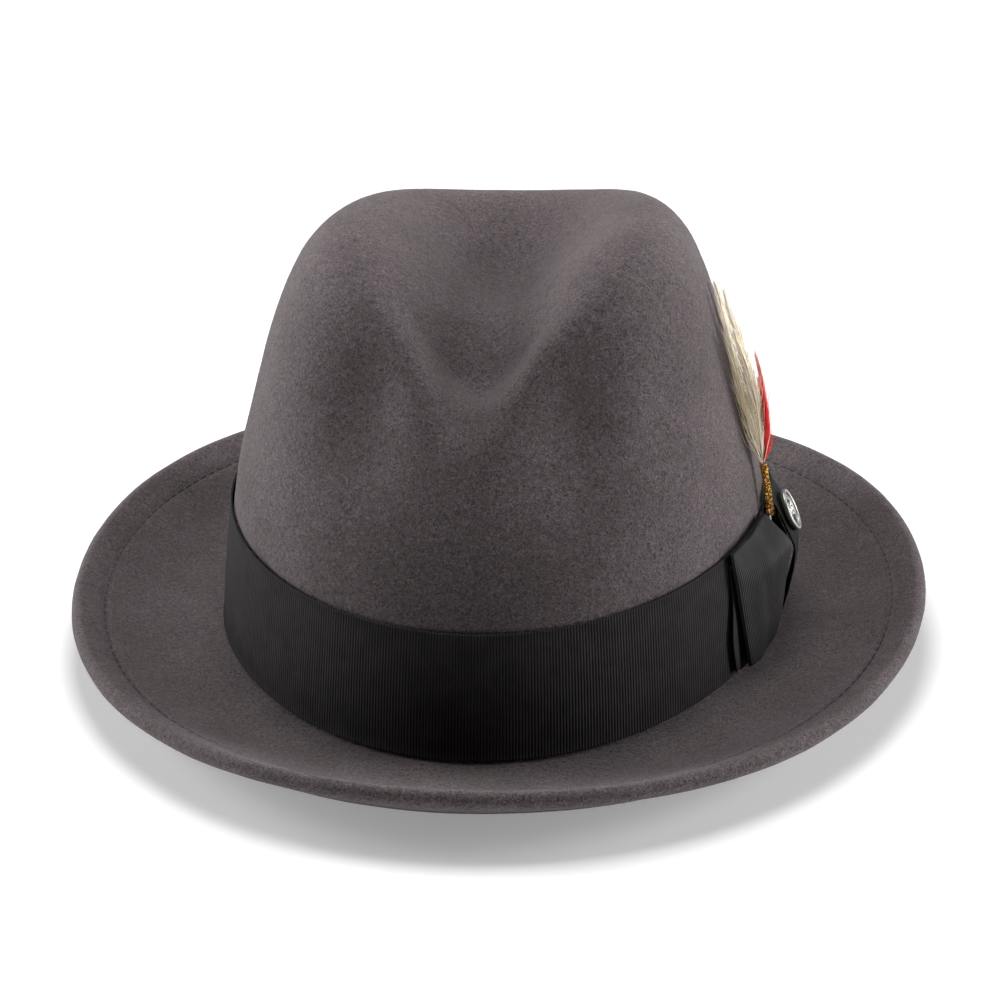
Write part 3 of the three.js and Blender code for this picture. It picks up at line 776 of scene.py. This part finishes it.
def to_badge(bm):
    bmesh.ops.transform(bm, matrix=badge_frame @ Matrix.Scale(MM, 4), verts=bm.verts[:])
    return bm


rim = [(BADGE_RADIUS - RIM_ROUND + RIM_ROUND * math.cos(a), 1.28 + RIM_ROUND * math.sin(a))
       for a in np.radians(spread(-60, 200, 14))]
post = [(0, -3), (0.35, -2.9), (POST_RADIUS, -2.6), (POST_RADIUS, 0.3)]
inner_ring = [(5.1, GROUND), (5.02, 1.2), (4.9, 1.3), (4.7, 1.3), (4.58, 1.2), (4.5, GROUND)]
badge_profile = [*post, (BADGE_RADIUS - 0.5, 0.3), (BADGE_RADIUS - 0.15, 0.45), *rim,
                 (BADGE_RADIUS - 1.3, GROUND), *inner_ring, (0, GROUND)]
badge = finish("badge_round", to_badge(lathe(badge_profile, 96)), BADGE, silver_material)
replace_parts(badge, "badge_disc")
badge.data.materials.append(dark_metal)
for polygon in badge.data.polygons:
    centre = Vector(polygon.center) - badge_frame.translation
    height = centre.dot(badge_axis) / MM
    radius = (centre - badge_axis * centre.dot(badge_axis)).length / MM
    polygon.material_index = int(0.9 < height < 1.0 and 5.0 < radius < BADGE_RADIUS - 1.2)

ray = bmesh.new()
bmesh.ops.create_cube(ray, size=1)
bmesh.ops.bevel(ray, geom=ray.edges[:], offset=0.12, segments=2, profile=0.5, affect="EDGES", material=-1)
ray.verts.index_update()


def badge_ray(index):
    angle = 2 * math.pi * index / RAYS
    long = 1.7 if index % 2 else 1.0

    def place(p):
        r = 3.1 + p[:, 0] * long
        side = p[:, 1] * 0.42
        x, y = r * math.cos(angle) - side * math.sin(angle), r * math.sin(angle) + side * math.cos(angle)
        local = np.stack([x, y, 1.05 + p[:, 2] * 0.34, np.ones(len(p))], -1)
        placed = local * (MM, MM, MM, 1) @ np.array(badge_frame).T
        return placed[:, :3] / MM

    return place


finish("badge_rays", repeated(ray, map(badge_ray, range(RAYS))), BADGE, dark_metal)
boss = [(0, 0.9), (1.7, 0.9), (1.7, 1.1), (1.55, 1.22), (1.3, 1.25),
        (1.15, 1.1), (0.8, 1.12), (0.5, 1.35), (0, 1.45)]
finish("badge_boss", to_badge(lathe(boss, 48)), BADGE, silver_material)
clutch_node = frame["nodes"]["badge_clutch"]
clutch_node.data.materials.clear()
clutch_node.data.materials.append(brass_material)

# %% [markdown]
# ## Feathers
# A hackle feather is a tapering shaft with two rows of fine barbs. The barbs lie close to the
# shaft and their loose ends make the soft outline, so they are modelled one by one: each is a
# three-sided hair, thick at the shaft and pointed at its end, bent upwards.

# %% Barb template and feather
QUILL_S, BIND_TOP, BIND_BOTTOM, QUILL_N = -12, 54, 37, 3.55
rng = np.random.default_rng(11)


def hair_template(pieces=6, sides=3):
    """A unit hair along Z, tapering to a point."""
    bm = bmesh.new()
    bmesh.ops.create_circle(bm, segments=sides, radius=1, cap_ends=True)
    end = bm.faces[:]
    for step in range(pieces):
        made = bmesh.ops.extrude_face_region(bm, geom=end)["geom"]
        end = [g for g in made if isinstance(g, bmesh.types.BMFace)]
        ring = [g for g in made if isinstance(g, bmesh.types.BMVert)]
        taper = (1 - 0.9 * (step + 1) / pieces) / (1 - 0.9 * step / pieces)
        bmesh.ops.translate(bm, verts=ring, vec=(0, 0, 1 / pieces))
        bmesh.ops.scale(bm, verts=ring, vec=(taper, taper, 1))
    bmesh.ops.recalc_face_normals(bm, faces=bm.faces[:])
    bm.verts.index_update()
    return bm


hair = hair_template()


def centre_line(spec, f):
    """The shaft of a feather in the bow's frame at share f of its length above the binding."""
    above = f * spec["length"]
    free = smooth(f, 0, 0.15)
    s = QUILL_S + spec["root"] * (0.3 + 0.7 * free) * (1 - smooth(f, 0.15, 0.4))
    s = s + spec["slant"] * above + spec["curl"] * above * f
    n = QUILL_N + spec["level"] * (0.15 + 0.85 * free)
    n = n + spec["rise"] * np.sin(np.minimum(f, 1) * spec["arch"])
    return np.stack([s, BIND_TOP + above, n], -1)


def barb(spec, f, roll):
    """One barb from the shaft at share f. Barbs stand round the shaft like the hairs of a soft
    brush that has been stroked upwards, and lie flatter towards the tip."""
    length = spec["barb"] * rng.uniform(0.6, 1.1) * (1 - 0.55 * smooth(f, 0.35, 1.0))
    length = min(length, (1.05 - f) * spec["length"] + 2)
    lean = math.radians(rng.uniform(5, spec["lean"]) * (1 - 0.45 * f))
    bend = rng.uniform(0.0, 0.5)
    stray = 2.3 if rng.random() < 0.05 else 1.0
    foot = 0.8 * (1 - smooth(f, 0, 0.25))
    thick = rng.uniform(0.11, 0.2)
    start = centre_line(spec, np.array([f]))[0]
    out_s, out_n = math.cos(roll) * stray, math.sin(roll) * 0.55 * stray

    def place(p):
        k = p[:, 2]
        out = foot + length * math.sin(lean) * (k - bend * 0.5 * k**2)
        up = length * math.cos(lean) * k
        along = np.minimum(f + up / spec["length"], 1.12)
        line = centre_line(spec, along)
        s = line[:, 0] + out * out_s + p[:, 0] * thick
        n = line[:, 2] + out * out_n + p[:, 1] * thick
        return on_side(s, start[1] + up, np.maximum(n, 0.35 + 0.1 * p[:, 1]))

    return place


def feather(name, spec, material):
    """Barbs and shaft in one mesh. Barbs that lie side by side have a like tone, which makes the
    long streaks of a hackle; each keeps its tone for its material."""
    shares = rng.uniform(0.0, 1.0, spec["barbs"]) ** 0.95
    rolls = rng.uniform(0, 2 * math.pi, spec["barbs"])
    tones = 0.5 + 0.36 * np.sin(5 * rolls + 3 * shares + spec["length"])
    tones = tones + rng.uniform(-0.16, 0.16, spec["barbs"])
    bm = repeated(hair, [barb(spec, f, roll) for f, roll in zip(shares, rolls)], tones=tones)

    def shaft(p):
        k = p[:, 2] * (1 + spec["tuck"]) - spec["tuck"]
        line = centre_line(spec, np.maximum(k, 0))
        line[:, 1] += np.minimum(k, 0) * spec["length"]
        return on_side(line[:, 0] + p[:, 0] * 0.24, line[:, 1], line[:, 2] + p[:, 1] * 0.2)

    stem = repeated(hair_template(pieces=24, sides=5), [shaft], tones=[0.85])
    joined = bpy.data.meshes.new("stem")
    stem.to_mesh(joined)
    bm.from_mesh(joined)
    stem.free()
    bpy.data.meshes.remove(joined)
    return finish(name, bm, BUNCH, material)


# %% [markdown]
# The long feathers are natural cream with grey-brown streaks, and the short ones are dyed red
# with a pale tip. Streaks run along the barbs, so the noise is stretched upwards.

# %% Feather finishes
def make_feather(name, stops, glow, inner, painted_glow, tips=None):
    """Colour by each barb's own tone, with streaks along it and paler tips if asked. Fine hairs pass
    light on to each other, which a low emission of their own colour stands for, a painted glow."""
    material, tree, shader = new_material(
        name, Roughness=0.5, Subsurface_Weight=inner, Subsurface_Scale=0.003, Emission_Strength=painted_glow)
    shader.inputs["Subsurface Radius"].default_value = glow
    shader.inputs["Specular IOR Level"].default_value = 0.3
    where = object_coords(tree)
    tone = node(tree, "Attribute", attribute_name="tone")
    streak = grain(tree, where, 1, 3, 0.6, stretch=(700, 700, 90))
    mix = node(tree, "Mix", data_type="FLOAT")
    mix.inputs[0].default_value = 0.35
    tree.links.new(tone.outputs["Fac"], mix.inputs[2])
    tree.links.new(streak, mix.inputs[3])
    colour = ramp(tree, mix.outputs[0], stops)
    if tips:
        height = node(tree, "SeparateXYZ")
        tree.links.new(where, height.inputs["Vector"])
        fade = node(tree, "MapRange")
        fade.inputs["From Min"].default_value = tips[0]
        fade.inputs["From Max"].default_value = tips[1]
        tree.links.new(height.outputs["Z"], fade.inputs["Value"])
        pale = node(tree, "Mix", data_type="RGBA", blend_type="MIX")
        tree.links.new(fade.outputs["Result"], pale.inputs[0])
        tree.links.new(colour, pale.inputs[6])
        pale.inputs[7].default_value = (*tips[2], 1)
        colour = pale.outputs[2]
    tree.links.new(colour, shader.inputs["Base Color"])
    # The emission is a painted glow in the feather's own colour.
    tree.links.new(colour, shader.inputs["Emission Color"])
    return material


cream_material = make_feather("cream_hackle", [
    (0.20, (0.09, 0.05, 0.02)), (0.30, (0.42, 0.28, 0.12)), (0.38, (0.90, 0.74, 0.44)),
    (0.60, (0.98, 0.88, 0.66)), (0.80, (1.0, 0.97, 0.90)),
], (1.0, 0.9, 0.65), 0.5, 0.09)
red_material = make_feather("red_hackle", [
    (0.2, (0.45, 0.004, 0.008)), (0.6, (0.78, 0.008, 0.014)), (0.85, (0.85, 0.03, 0.035)),
], (1.0, 0.1, 0.05), 0.25, 0.03, tips=(0.086, 0.101, (0.85, 0.55, 0.52)))

# %% Five feathers
cream = [
    ("feather_cream_back", dict(
        level=-1.0, length=56, barb=21, lean=27, arch=2.3,
        slant=0.12, rise=-0.7, curl=0.10, root=-0.3, tuck=0.5, barbs=640)),
    ("feather_cream_middle", dict(
        level=-0.3, length=54, barb=21, lean=27, arch=2.3,
        slant=0.03, rise=2.7, curl=0.05, root=0.9, tuck=0.5, barbs=640)),
    ("feather_cream_front", dict(
        level=0.2, length=45, barb=18, lean=27, arch=2.3,
        slant=0.0, rise=3.3, curl=-0.06, root=-0.9, tuck=0.5, barbs=520)),
]
for index, (name, spec) in enumerate(cream, 1):
    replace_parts(feather(name, spec, cream_material), f"feather_cream_{index}")
red = [
    ("feather_red_long", dict(
        level=1.1, length=35, barb=14, lean=20, arch=1.7,
        slant=0.07, rise=5.0, curl=0.03, root=0.4, tuck=0.5, barbs=360)),
    ("feather_red_short", dict(
        level=1.3, length=28, barb=12, lean=18, arch=1.7,
        slant=-0.02, rise=4.6, curl=0.0, root=-0.4, tuck=0.6, barbs=280)),
]
for index, (name, spec) in enumerate(red, 1):
    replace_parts(feather(name, spec, red_material), f"feather_red_{index}")

# %% [markdown]
# The quills are bound with crinkled gold tinsel, wound round and round. It is one long thread
# along a helix, with a small random wander so that the turns cross and catch the light.

# %% Gold binding
TURNS, STEPS_PER_TURN, THREAD = 23, 14, 0.34
wire = bmesh.new()
ring_count = TURNS * STEPS_PER_TURN
bmesh.ops.create_cone(wire, segments=5, radius1=1, radius2=1, depth=1, cap_ends=True)
long_edges = [e for e in wire.edges if abs(e.verts[0].co.z - e.verts[1].co.z) > 0.5]
bmesh.ops.subdivide_edges(wire, edges=long_edges, cuts=ring_count, use_grid_fill=False)
wander = rng.normal(0, 1, (3, ring_count + 2))
for row in wander:
    row[:] = np.convolve(np.r_[row[-2:], row, row[:2]], np.ones(5) / 5, "valid")


def wind(x, y, z):
    k = z + 0.5
    index = np.clip(np.round(k * (ring_count + 1)).astype(int), 0, ring_count + 1)
    angle = 2 * math.pi * TURNS * k + 0.5 * wander[0][index]
    radius = 1.05 - 0.1 * k + 0.3 * wander[1][index] + x * THREAD
    q = BIND_BOTTOM + 0.5 + (BIND_TOP - BIND_BOTTOM - 0.2) * k + 0.7 * wander[2][index] + y * THREAD
    return on_side(QUILL_S + radius * np.cos(angle), q, QUILL_N + 0.1 + radius * np.sin(angle))


reshape(wire, wind)
bmesh.ops.recalc_face_normals(wire, faces=wire.faces[:])
binding = finish("feather_gold_binding", wire, BUNCH, tinsel_material, smooth_faces=False)
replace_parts(binding, "feather_binding")

# %% [markdown]
# ## Inside the hat
# A leather sweatband is sewn round the opening over a thin reed, which keeps its edge round. The
# satin lining has a gathered side and an oval top, and a small bow marks the back of the band.

# %% Sweatband
BAND_OUT = -(WALL + 1.3)
BAND_IN = BAND_OUT - 0.9
BAND_STITCH_HALF, BAND_MEAN_RADIUS = 1.25, 93
band_rows = spread(1.2, 32.4, 14)
band_profile = [(BAND_OUT, 0.8), *[(BAND_OUT, q) for q in band_rows],
                (BAND_OUT - 0.25, 33), (BAND_IN + 0.25, 33),
                *[(BAND_IN, q) for q in band_rows[::-1]], (BAND_IN + 0.2, 0.7)]
band = finish("leather_sweatband", crown_ring(band_profile, 180), HAT, leather_material)
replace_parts(band, "sweatband")
reed_bm = crown_ring(round_profile(BAND_OUT - 0.2, -0.7, 0.9, 14), 180)
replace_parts(finish("sweatband_reed_piping", reed_bm, HAT, cut_material), "sweatband_reed")


def band_stitch(index):
    t0 = 2 * math.pi * index / STITCHES

    def place(p):
        along = p[:, 2] * BAND_STITCH_HALF
        dip = 0.3 * (along / BAND_STITCH_HALF) ** 2
        n = BAND_IN - 0.12 + dip + p[:, 1] * 0.2
        return on_crown(3 + p[:, 0] * 0.22, t0 + along / BAND_MEAN_RADIUS, n)

    return place


band_thread_bm = repeated(capsule, map(band_stitch, range(STITCHES)))
band_thread = finish("sweatband_stitches", band_thread_bm, HAT, thread_material)
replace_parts(band_thread, "sweatband_stitch")

# %% Lining: gathered side, top and seam
LINING_OUT = -(WALL + 0.4)
LINING_IN = LINING_OUT - 0.4
SEAM_Q = 111.5
side_rows = spread(26, SEAM_Q - 1.2, 34)


def on_lining(a, t, q):
    gather = 0.22 * (1 - np.cos(72 * t)) * smooth(q, 30, 100)
    return on_crown(q, t, a - SHIFT - gather)


side_profile = [(LINING_OUT, q) for q in side_rows] + [(LINING_IN, q) for q in side_rows[::-1]]
lining_bm = turned([(n + SHIFT, q) for n, q in side_profile], 432, on_lining)
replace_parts(finish("satin_lining_side", lining_bm, HAT, satin_material), "lining_side")
seam_bm = crown_ring(round_profile(LINING_OUT - 0.8, SEAM_Q, 0.5, 10), 180)
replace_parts(finish("satin_lining_seam", seam_bm, HAT, satin_material), "lining_seam")
TIP_OUT = LINING_OUT - 0.7
TIP_IN = TIP_OUT - 0.4
tip_rows = spread(SEAM_Q + 1.2, CROWN_LENGTH - TOP_HOLE, 30)
tip_profile = [*top(TIP_IN), *[tuple(map(float, blank(q, TIP_IN))) for q in tip_rows[::-1]],
               *[tuple(map(float, blank(q, TIP_OUT))) for q in tip_rows], *top(TIP_OUT)]
tip_bm = turned(tip_profile, 180, shape_crown, closed=False)
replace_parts(finish("satin_lining_top", tip_bm, HAT, satin_material), "lining_tip")

# %% Small bow on the sweatband
def small_bow(x, y, z):
    return on_crown(9 + y, math.pi / 2 - x / 95, BAND_IN - 1.2 + z)


bow_bm = bmesh.new()
bmesh.ops.create_grid(bow_bm, x_segments=32, y_segments=10, size=1)
uv_layer = bow_bm.loops.layers.uv.new("around")
for face in bow_bm.faces:
    for loop in face.loops:
        loop[uv_layer].uv = (loop.vert.co.x * 8, loop.vert.co.y * 3)
reshape(bow_bm, lambda x, y, z: small_bow(
    8 * x, y * (0.9 + 2.3 * abs(x) ** 0.8), 0.3 + 0.35 * np.cos(3.2 * x) * np.cos(y * 4)))
inner_bow = finish("sweatband_ribbon_bow", bow_bm, HAT, ribbon_material)
thick = inner_bow.modifiers.new("thickness", "SOLIDIFY")
thick.thickness = 0.35 * MM
thick.offset = 0
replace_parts(inner_bow, "sweatband_bow")

# %% Finishes for the design's own small pieces
for index in range(1, 4):
    tack = frame["nodes"][f"ribbon_tack_{index}"]
    tack.data.materials.clear()
    tack.data.materials.append(ribbon_thread)
label = frame["nodes"]["size_label"]
label.data.materials.clear()
label.data.materials.append(label_material)

# %% [markdown]
# ## Floor and light
# The hat stands on a wide pale floor in a bright studio. Two large soft lights at the sides and
# one behind and above give light flanks and a darker front, as wool shows best.

# %% Floor
FLOOR_HALF, FLOOR_DROP = 6, 0.2
floor_bm = bmesh.new()
bmesh.ops.create_grid(floor_bm, x_segments=1, y_segments=1, size=FLOOR_HALF,
                      matrix=Matrix.Translation((0, 0, -FLOOR_DROP * MM)))
floor_mesh = bpy.data.meshes.new("floor")
floor_bm.to_mesh(floor_mesh)
floor_bm.free()
floor = bpy.data.objects.new("floor", floor_mesh)
bpy.context.scene.collection.objects.link(floor)
floor_material, floor_tree, floor_shader = new_material("pale_floor_painted_shade", Roughness=0.9)
floor_shader.inputs["Base Color"].default_value = (0.84, 0.84, 0.84, 1)
floor_shader.inputs["Emission Color"].default_value = (1, 1, 1, 1)
# The floor's own glow is weakest round the hat and full far off, which paints a wide shade on the floor round
# the hat.
from_hat = node(floor_tree, "VectorMath", operation="LENGTH")
floor_tree.links.new(object_coords(floor_tree), from_hat.inputs[0])
glow = node(floor_tree, "MapRange")
for socket, number in (("From Min", 0.3), ("From Max", 1.8), ("To Min", 0.25), ("To Max", 1.0)):
    glow.inputs[socket].default_value = number
floor_tree.links.new(from_hat.outputs["Value"], glow.inputs["Value"])
floor_tree.links.new(glow.outputs["Result"], floor_shader.inputs["Emission Strength"])
floor_mesh.materials.append(floor_material)

# %% Light
def soft_light(name, spot, size, power):
    light = bpy.data.lights.new(name, "AREA")
    light.shape = "SQUARE"
    light.size = size
    light.energy = power
    obj = bpy.data.objects.new(name, light)
    bpy.context.scene.collection.objects.link(obj)
    aim(obj, spot, (0, 0, 0.06))


soft_light("left_light", (-1.5, 0.3, 0.4), 0.8, 27)
soft_light("right_light", (1.5, 0.33, 0.4), 0.8, 26)
soft_light("top_light", (-0.03, 0.12, 0.62), 0.36, 3.6)
world = bpy.data.worlds.new("studio")
world.use_nodes = True
tree = world.node_tree
background = tree.nodes["Background"]
background.inputs["Color"].default_value = (1, 1, 1, 1)
height = node(tree, "SeparateXYZ")
tree.links.new(node(tree, "TexCoord").outputs["Generated"], height.inputs["Vector"])
glow = node(tree, "MapRange")
for socket, number in (("From Min", 0.0), ("From Max", 0.3), ("To Min", 0.6), ("To Max", 0.04)):
    glow.inputs[socket].default_value = number
tree.links.new(height.outputs["Z"], glow.inputs["Value"])
tree.links.new(glow.outputs["Result"], background.inputs["Strength"])
bpy.context.scene.world = world

bpy.context.scene.view_settings.view_transform = "Standard"
